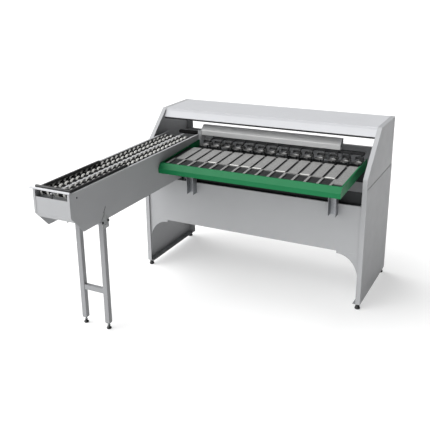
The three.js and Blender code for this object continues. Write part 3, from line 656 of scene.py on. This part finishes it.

# Roller mat: two matt black rubber sleeves sit on each steel shaft, one for each lane. They are
# drawn thick, so that their black also stands as painted shade in the gaps between the rings.
# Three white acetal rings with sharp shoulders are pressed on each sleeve, the outer two cut off
# square.
mat_low, mat_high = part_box("roller_mat")
roller_pitch = 47.5 * MM
roller_rows = 27
ring_radius = 19 * MM
ring_bore = 13.5 * MM
ring_reach = 8 * MM
ring_edge = 0.6 * MM
ring_end_radius = ring_radius - 1 * MM
# The sleeves are drawn this thick so that their black fills the gaps between rings as painted
# shade.
tube_radius = 14 * MM
tube_inset = 1 * MM
shaft_radius = 5 * MM
lane_inner = 7 * MM
lane_outer = 99 * MM
lane_length = lane_outer - lane_inner
lane_middle = lane_length / 2
mat_middle = (mat_low.x + mat_high.x) / 2
last_row_y = mat_high.y - ring_radius
row_z = mat_high.z - ring_radius


def shoulder(start, end):
    """One side of a ring, hollowed a little, from the sleeve at start out to the edge at end"""
    rings = []
    for share in (0, 0.3, 0.6, 0.85, 1):
        swell = share * (0.8 + 0.2 * share)
        radius = ring_bore + swell * (ring_radius - ring_bore)
        rings.append((radius, start + (end - start) * share))
    return rings


def row_of(piece):
    """Copies a piece along the mat, each copy with its own mesh, as one object"""
    select_only(piece)
    rows = piece.modifiers.new("rows", "ARRAY")
    rows.count = roller_rows
    rows.use_relative_offset = False
    rows.use_constant_offset = True
    rows.constant_offset_displace = (0, -roller_pitch, 0)
    bpy.ops.object.modifier_apply(modifier=rows.name)
    return piece


white_acetal = moulded("white acetal", "#dededb", "#d2d2ce", 0.38)
# Partly painted shade: on the roller sleeves this matt black also stands for the shaded gaps
# between the rings.
black_rubber_and_gap_shade = moulded("matt black rubber and painted gap shade", "#0b0b0c", "#121213", 0.85, 0.15)
first_ring = [
    (ring_bore, 0),
    (ring_end_radius, 0),
    *reversed(shoulder(ring_edge + ring_reach, ring_edge)),
]
middle_ring = [
    *shoulder(lane_middle - ring_reach, lane_middle - ring_edge),
    *reversed(shoulder(lane_middle + ring_reach, lane_middle + ring_edge)),
]
last_ring = [
    *shoulder(lane_length - ring_reach - ring_edge, lane_length - ring_edge),
    (ring_end_radius, lane_length),
    (ring_bore, lane_length),
]
tube_rings = [(tube_radius, tube_inset), (tube_radius, lane_length - tube_inset)]
rings = []
tubes = []
for lane_x in (mat_middle + lane_inner, mat_middle - lane_outer):
    place = (lane_x, last_row_y, row_z)
    for shape in (first_ring, middle_ring, last_ring):
        rings.append(turned(shape, place, TURN_TO["+x"], sides=20, corner=50))
    tubes.append(turned(tube_rings, place, TURN_TO["+x"], sides=16))
white_rings = row_of(joined(rings))
fix(white_rings, "roller_rings", white_acetal, "white_plastic", "roller_mat", "roller_mat")
black_sleeves_and_gap_shade = row_of(joined(tubes))
fix(black_sleeves_and_gap_shade, "roller_sleeves_and_gap_shade", black_rubber_and_gap_shade, "black_plastic", "roller_mat")
shaft_rings = [(shaft_radius, 0), (shaft_radius, mat_high.x - mat_low.x)]
row_shaft = turned(shaft_rings, (mat_low.x, last_row_y, row_z), TURN_TO["+x"], sides=12)
fix(row_of(row_shaft), "roller_shafts", zinc_plate, "bright_steel", "roller_mat")

# Its two chains are of oiled steel, dark with brighter rubbed grains: pairs of round-ended plates,
# one pair from shaft to shaft, and each pair lies inside or outside the next.
oiled_steel = metal("oiled chain steel", "#5d5c5a", "#3f3e3d", 0.38, 5 * MM)
plate_radius = 11 * MM
plate_thickness = 1.6 * MM
chain_width = 6 * MM
chain_z = row_z - 5 * MM


def link_plate(x, y):
    """A flat plate with two round ends, from a disc whose rear half is moved by one pitch"""
    half_way = y + 0.01 * MM
    rings = [(plate_radius, 0), (plate_radius, plate_thickness)]
    plate = turned(rings, (x, y, chain_z), TURN_TO["+x"], sides=16)
    select_only(plate)
    bpy.ops.object.mode_set(mode="EDIT")
    bpy.ops.mesh.select_all(action="DESELECT")
    bpy.ops.object.mode_set(mode="OBJECT")
    for vertex in plate.data.vertices:
        vertex.select = vertex.co.y > half_way
    bpy.ops.object.mode_set(mode="EDIT")
    bpy.ops.transform.translate(value=(0, roller_pitch, 0))
    bpy.ops.object.mode_set(mode="OBJECT")
    return plate


links = []
for side_x in (mat_low.x, mat_high.x - chain_width):
    for k in range(roller_rows - 1):
        inset = plate_thickness if k % 2 else 0
        y = last_row_y - (k + 1) * roller_pitch
        for x in (side_x + inset, side_x + chain_width - plate_thickness - inset):
            links.append(link_plate(x, y))
fix(joined(links), "mat_chains", oiled_steel, "cast_grey", "roller_mat")

# The divider between the two lanes is a flat pale strip with folded edges. A black nylon foot
# carries its front end on the end plate.
divider_low, divider_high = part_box("centre_divider")
divider_thickness = 5 * MM
foot_depth = 6 * MM
divider = slab(
    (divider_low.x, divider_low.y, divider_high.z - divider_thickness),
    divider_high,
    rounding=1.2 * MM,
    segments=3,
)
fix(divider, "lane_divider", light_powder, "light_paint", "frame", "centre_divider")
divider_foot = slab(
    divider_low,
    (divider_high.x, divider_low.y + foot_depth, divider_high.z - divider_thickness / 2),
    rounding=1 * MM,
)
fix(divider_foot, "lane_divider_foot", black_nylon, "black_plastic", "frame")


# Leg brackets: plates of 3 mm galvanised steel with a point, dull and softly clouded. Each is held
# by two black hexagon bolts with a washer.
def hexagon_bolt(place, facing, radius):
    """A bolt head on its washer, with sizes in shares of the head's radius"""
    washer_rings = [(1.35 * radius, 0), (1.35 * radius, 0.2 * radius), (radius, 0.2 * radius)]
    head_rings = [
        (radius, 0.2 * radius),
        (radius, 0.8 * radius),
        (0.88 * radius, 0.9 * radius),
        (0.4 * radius, 0.9 * radius),
    ]
    washer = turned(washer_rings, place, TURN_TO[facing], sides=24)
    head = turned(head_rings, place, TURN_TO[facing], sides=6, corner=25)
    return joined([head, washer])


galvanised = metal("galvanised steel", "#aaabab", "#8f9191", 0.4, 9 * MM)
for side in ("left", "right"):
    finished(f"{side}_leg_bracket", galvanised, "galvanised_steel", radius=0.5 * MM)
pivot_y = -0.567
pivot_z = 0.630
bolt_spread = 25 * MM
bolt_z = pivot_z + 20 * MM
bolt_radius = 6 * MM
bracket_bolts = []
for node, facing in (("left_leg_bracket", "-x"), ("right_leg_bracket", "+x")):
    bracket_low, bracket_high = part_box(node)
    face = bracket_high.x if facing == "+x" else bracket_low.x
    for y in (pivot_y - bolt_spread, pivot_y + bolt_spread):
        bracket_bolts.append(hexagon_bolt((face, y, bolt_z), facing, bolt_radius))
fix(joined(bracket_bolts), "bracket_bolts", dark_zinc, "bright_steel", "frame")

# Leg frame: two square tubes of 30 mm and a crossbar, welded and powder coated in the cabinet's
# grey, on a bright pivot rod that turns in the two brackets.
leg_low, leg_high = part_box("leg_frame")
tube_half = 15 * MM
crossbar_half = 12 * MM
crossbar_low = 219 * MM
crossbar_high = 249 * MM
crossbar_lap = 2 * MM
foot_boxes = {side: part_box(f"{side}_leg_foot") for side in ("left", "right")}
foot_middles = {side: (low + high) / 2 for side, (low, high) in foot_boxes.items()}
leg_y = foot_middles["left"].y
leg_tubes = [
    slab(
        (middle.x - tube_half, leg_y - tube_half, leg_low.z),
        (middle.x + tube_half, leg_y + tube_half, leg_high.z),
        rounding=2.5 * MM,
        segments=3,
    )
    for middle in foot_middles.values()
]
crossbar = slab(
    (foot_middles["left"].x + tube_half - crossbar_lap, leg_y - crossbar_half, crossbar_low),
    (foot_middles["right"].x - tube_half + crossbar_lap, leg_y + crossbar_half, crossbar_high),
    rounding=2 * MM,
    segments=3,
)
tube_powder = powder_coat("grey powder coat on tube", "#919294", "#8c8d8f", "#a9aaab", 0.46)
fix(joined([*leg_tubes, crossbar]), "leg_tubes", tube_powder, "grey_paint", "leg", "leg_frame")
pivot_radius = 7 * MM
pivot_chamfer = 1 * MM
rod_length = leg_high.x - leg_low.x
rod_rings = [
    (pivot_radius - pivot_chamfer, 0),
    (pivot_radius, pivot_chamfer),
    (pivot_radius, rod_length - pivot_chamfer),
    (pivot_radius - pivot_chamfer, rod_length),
]
pivot_rod = turned(rod_rings, (leg_low.x, pivot_y, pivot_z), TURN_TO["+x"], sides=24)
fix(pivot_rod, "pivot_rod", zinc_plate, "bright_steel", "leg")

# Leg feet: round black nylon pads, each with a hexagon of the same nylon round its bright threaded
# stem. The stem screws into the plug in the tube's end.
plug_half = tube_half - 2 * MM
plug_low = leg_low.z - 3 * MM
plug_high = leg_low.z + 1 * MM
pad_rings = [
    (12.5 * MM, 0),
    (14 * MM, 1.5 * MM),
    (14 * MM, 6.5 * MM),
    (12.5 * MM, 9 * MM),
    (7 * MM, 13 * MM),
    (6.5 * MM, 15 * MM),
]
nut_rings = [(8.5 * MM, 0), (8.5 * MM, 5 * MM)]
nut_z = 18 * MM
stem_z = 14 * MM
thread_radius = 6 * MM
root_radius = 5.2 * MM
thread_pitch = 2 * MM
thread_turns = 12
stem_rings = [(thread_radius, 0)]
for k in range(thread_turns):
    stem_rings.append((thread_radius, (k + 0.3) * thread_pitch))
    stem_rings.append((root_radius, (k + 0.7) * thread_pitch))
for side, middle in foot_middles.items():
    pad = turned(pad_rings, (middle.x, middle.y, foot_boxes[side][0].z))
    nut = turned(nut_rings, (middle.x, middle.y, nut_z), sides=6, corner=25)
    plug = slab(
        (middle.x - plug_half, middle.y - plug_half, plug_low),
        (middle.x + plug_half, middle.y + plug_half, plug_high),
        rounding=1 * MM,
    )
    pad_pieces = joined([pad, nut, plug])
    node = f"{side}_leg_foot"
    fix(pad_pieces, f"{side}_leg_pad", black_nylon, "black_plastic", "leg", node)
    stem = turned(stem_rings, (middle.x, middle.y, stem_z), sides=16)
    fix(stem, f"{side}_leg_stem", zinc_plate, "bright_steel", "leg")


# Table: a folded tray of green powder-coated steel, whose front lip has a broad chamfer. A dark
# sheet lies in it, with a galvanised strip for each lane and narrow fingers between the pockets.
def spangled(name, bright, dull):
    """Galvanised sheet: grey crystals, each with its own tone and shine. A dull oxide skin covers
    half of the bare zinc."""
    crystal_size = 5 * MM
    bare_share = 0.5
    shinier, duller = 0.4, 0.55
    material = plain_surface(name, bright, 0.45, bare_share)
    place = add_node(material, "ShaderNodeTexCoord").outputs["Object"]
    crystals = add_node(
        material, "ShaderNodeTexVoronoi", sockets={"Vector": place, "Scale": 1 / crystal_size}
    ).outputs["Color"]
    crystal = add_node(
        material, "ShaderNodeSeparateColor", sockets={"Color": crystals}
    ).outputs["Red"]
    tone = add_node(
        material,
        "ShaderNodeMix",
        {"data_type": "RGBA"},
        {MIX_SHARE: crystal, MIX_FIRST: linear(bright), MIX_SECOND: linear(dull)},
    ).outputs[MIX_RESULT]
    drive_socket(material, "Base Color", tone)
    shine = add_node(
        material,
        "ShaderNodeMapRange",
        sockets={"Value": crystal, "To Min": shinier, "To Max": duller},
    ).outputs["Result"]
    drive_socket(material, "Roughness", shine)
    return material


green_powder = powder_coat("green powder coat", "#056539", "#045e34", "#2c8f5f", 0.45, 0.2)
finished("tray_frame", green_powder, "green_paint")
dark_sheet = metal("dark galvanised sheet", "#4c4d4e", "#3c3d3e", 0.5, 8 * MM)
finished("table_floor", dark_sheet, "charcoal_paint", radius=0.3 * MM)
spangle = spangled("spangled galvanised strip", "#a6a6a5", "#8f8f8e")
finished("lane_strips", spangle, "galvanised_steel", radius=0.5 * MM)
finished("finger_rack", spangle, "galvanised_steel", radius=0.5 * MM)

# Some lanes end in a strip of white moulded acetal, clipped over the edge of the sheet. Two
# channels of dull zinc-plated steel carry the table's front.
tilt = math.radians(3)
lane_pitch = 72 * MM
first_lane_x = -0.389
lane_end_y = 0.139
white_end_lanes = (4, 6, 7, 8, 10, 12, 14)
strip_half = 28 * MM
end_front = -0.4 * MM
end_back = 11 * MM
end_bottom = 0.1 * MM
end_top = 1.6 * MM
strips_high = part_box("lane_strips")[1]
strip_end_z = strips_high.z - (strips_high.y - lane_end_y) * math.tan(tilt)
ends = []
for lane in white_end_lanes:
    x = first_lane_x + (lane - 1) * lane_pitch
    end = slab(
        (x - strip_half, end_front, end_bottom),
        (x + strip_half, end_back, end_top),
        rounding=0.5 * MM,
    )
    end.rotation_euler = (tilt, 0, 0)
    end.location = (0, lane_end_y, strip_end_z)
    ends.append(settle(end))
fix(joined(ends), "lane_ends", white_acetal, "white_plastic", "frame")
dull_zinc = metal("dull zinc-plated channel", "#a5a7aa", "#8f9194", 0.5, 8 * MM)
for side in ("left", "right"):
    finished(f"{side}_table_post", dull_zinc, "bright_steel", radius=0.6 * MM)

# Weighing: each pan is a spun stainless dish on a balance lever, with a hardened cross pin in the
# notches of the black rail and a counterweight behind. All are loose, so each rides on its body.
stainless = metal("satin stainless steel", "#8b8b8a", "#747473", 0.5, 3 * MM)
pan_count = 14
dish_rings = [
    (3 * MM, 0),
    (12 * MM, 0.2 * MM),
    (19 * MM, 2.2 * MM),
    (24.5 * MM, 5.2 * MM),
    (26 * MM, 6.6 * MM),
    (26 * MM, 7.4 * MM),
    (25 * MM, 7.5 * MM),
    (23.5 * MM, 6 * MM),
    (18.5 * MM, 3.4 * MM),
    (12 * MM, 1.6 * MM),
    (3 * MM, 1.4 * MM),
]
dish_reach = 56 * MM
dish_above = 8 * MM
pin_from_back = 44 * MM
pin_from_bottom = 10 * MM
pin_half = 13 * MM
pin_radius = 2.5 * MM
pin_chamfer = 0.5 * MM
pin_rings = [
    (pin_radius - pin_chamfer, 0),
    (pin_radius, pin_chamfer),
    (pin_radius, 2 * pin_half - pin_chamfer),
    (pin_radius - pin_chamfer, 2 * pin_half),
]
lever_top = 8.7 * MM
lever_bottom = 1 * MM
lever_half = 4 * MM
lever_back = 15 * MM
hub_half = 6 * MM
hub_bottom = -4 * MM
weight_half = 14 * MM
weight_front = 14 * MM
weight_bottom = -10 * MM
for pan in range(1, pan_count + 1):
    node = f"weigh_pan_{pan}"
    low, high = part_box(node)
    x = (low.x + high.x) / 2
    pin_y = high.y - pin_from_back
    pin_z = low.z + pin_from_bottom
    top_z = pin_z + lever_top
    dish = turned(dish_rings, (x, pin_y - dish_reach, pin_z + dish_above), sides=28)
    lever = slab(
        (x - lever_half, pin_y - dish_reach, pin_z + lever_bottom),
        (x + lever_half, pin_y + lever_back, top_z),
        rounding=0.8 * MM,
    )
    hub = slab(
        (x - hub_half, pin_y - hub_half, pin_z + hub_bottom),
        (x + hub_half, pin_y + hub_half, top_z),
        rounding=1 * MM,
    )
    pin = turned(pin_rings, (x - pin_half, pin_y, pin_z), TURN_TO["+x"], sides=12)
    weight = slab(
        (x - weight_half, pin_y + weight_front, pin_z + weight_bottom),
        (x + weight_half, high.y, top_z),
        rounding=2 * MM,
    )
    scale = joined([dish, lever, hub, pin, weight])
    fix(scale, f"pan_{pan}", stainless, "bright_steel", node, node)
finished("weigh_rail", black_nylon, "black_plastic", radius=0.4 * MM)

# Transport: a moulded black nylon beam with a fork for each scale, on a carriage of zinc-plated
# steel. It steps sideways and lifts.
finished("transport_beam", black_nylon, "black_plastic", radius=2 * MM, segments=3)
finished("transport_carriage", zinc_plate, "bright_steel", radius=0.6 * MM)


# Hood: brushed stainless steel, folded lengthways, so that the brush marks run along it. A dark
# plate closes its right end, and its left end stands on a grey foot. The foot holds the stop bar,
# a round bar with the rollers' black rubber on it, over the trough's end.
def brushed(name, bright, dull, roughness):
    """Brushed steel: marks 0.4 mm wide and 60 mm long, drawn 1.5 mm wide so that they show. Its
    scratches scatter a third of the light."""
    mark_width = 1.5 * MM
    along_marks = (0.025, 1, 1)
    mark_detail = 3.0
    mark_depth = 0.01 * MM
    mirror_share = 0.7
    material = plain_surface(name, bright, roughness, mirror_share)
    marks = patches(material, mark_width, 0, 1, mark_detail, along_marks)
    tone = add_node(
        material,
        "ShaderNodeMix",
        {"data_type": "RGBA"},
        {MIX_SHARE: marks, MIX_FIRST: linear(bright), MIX_SECOND: linear(dull)},
    ).outputs[MIX_RESULT]
    drive_socket(material, "Base Color", tone)
    duller, shinier = roughness + 0.08, roughness - 0.06
    shine = patches(material, mark_width, shinier, duller, mark_detail, along_marks)
    drive_socket(material, "Roughness", shine)
    scratches = add_node(
        material,
        "ShaderNodeBump",
        sockets={"Height": marks, "Distance": mark_depth, "Strength": 1.0},
    ).outputs["Normal"]
    drive_socket(material, "Normal", scratches)
    return material


brushed_stainless = brushed("brushed stainless steel", "#cfcfce", "#bdbebf", 0.42)
finished("hood", brushed_stainless, "brushed_steel", radius=0.8 * MM)
slate_powder = powder_coat("slate grey powder coat", "#6d7072", "#676a6c", "#8a8d8f", 0.45)
finished("hood_right_bracket", slate_powder, "dark_paint", radius=0.6 * MM)
finished("hood_left_bracket", tube_powder, "light_paint", radius=0.6 * MM)
fix(round_bar("stop_bar"), "stop_roller", black_rubber_and_gap_shade, "black_plastic", "frame", "stop_bar")

# Drive: a cast aluminium gearbox with its motor, painted grey. It turns the bright drive shaft
# through an oiled roller chain, and the mat's chains turn the idler in front.
cast_paint = powder_coat(
    "grey machine enamel on cast aluminium", "#6f7376", "#676b6e", "#94989a", 0.5
)
finished("gearmotor", cast_paint, "cast_grey", radius=2 * MM, segments=3)
finished("drive_chain", oiled_steel, "cast_grey", radius=0.6 * MM)
for node in ("motor_sprocket", "drive_shaft", "idler_shaft"):
    finished(node, zinc_plate, "bright_steel", radius=0.5 * MM)
